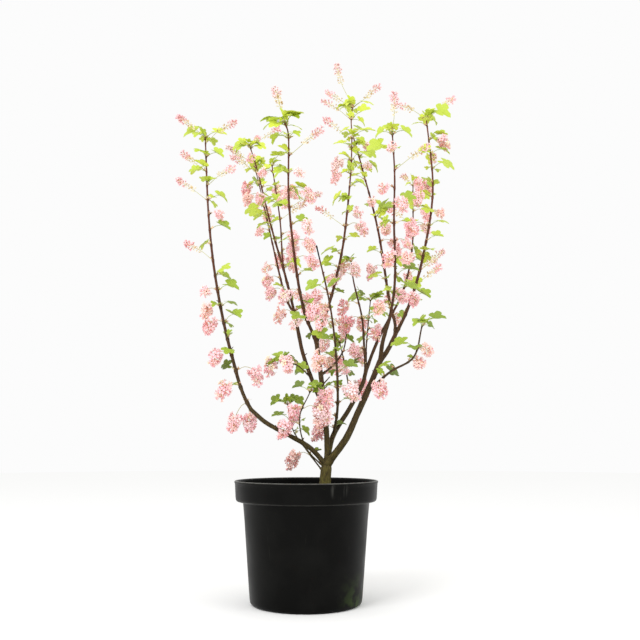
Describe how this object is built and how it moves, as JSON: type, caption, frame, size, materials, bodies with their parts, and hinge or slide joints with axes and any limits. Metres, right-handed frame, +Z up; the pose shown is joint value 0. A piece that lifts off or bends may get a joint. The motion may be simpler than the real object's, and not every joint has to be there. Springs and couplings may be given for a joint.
{
  "type": "potted flowering currant",
  "caption": "Young flowering currant shrub in a black nursery pot: upright branching canes with fresh lobed leaves and hanging pink blossom.",
  "frame": {"origin": "middle of the pot's flat underside, which stands on the ground", "axes": "+Z up the plant, -Y towards the viewer at the front, +X to the viewer's right"},
  "size_m": [0.7308, 0.6639, 1.4459],
  "materials": {
    "pot": "satin black moulded plastic, lightly scuffed",
    "compost": "dark moist crumbly compost",
    "bark": "rough brown bark, olive towards the foot",
    "flowering_canes": "soft matte lime leaves and pink blossom on reddish brown bark"
  },
  "bodies": {
    "root": {"pot": "pot", "compost": "compost", "trunk": "bark", "bough_centre": "bark", "bough_right_outer": "bark", "bough_right_inner": "bark", "bough_left": "bark", "bough_centre_back": "bark", "bough_far_right": "bark", "bough_upper_right": "bark", "bough_upper_inner": "bark", "cane_left": "flowering_canes", "cane_centre_front": "flowering_canes", "cane_centre_back": "flowering_canes", "cane_left_inner": "flowering_canes", "cane_left_back": "flowering_canes", "cane_left_middle": "flowering_canes", "cane_far_right": "flowering_canes", "cane_top": "flowering_canes", "cane_right_front": "flowering_canes", "cane_right_back": "flowering_canes", "cane_inner": "flowering_canes", "cane_inner_back": "flowering_canes", "cane_dead": "flowering_canes", "cane_low_right": "flowering_canes", "twig_cross": "flowering_canes", "twig_low_front": "flowering_canes", "twig_low_back": "flowering_canes", "twig_middle": "flowering_canes", "twig_left": "flowering_canes"}
  },
  "joints": []
}
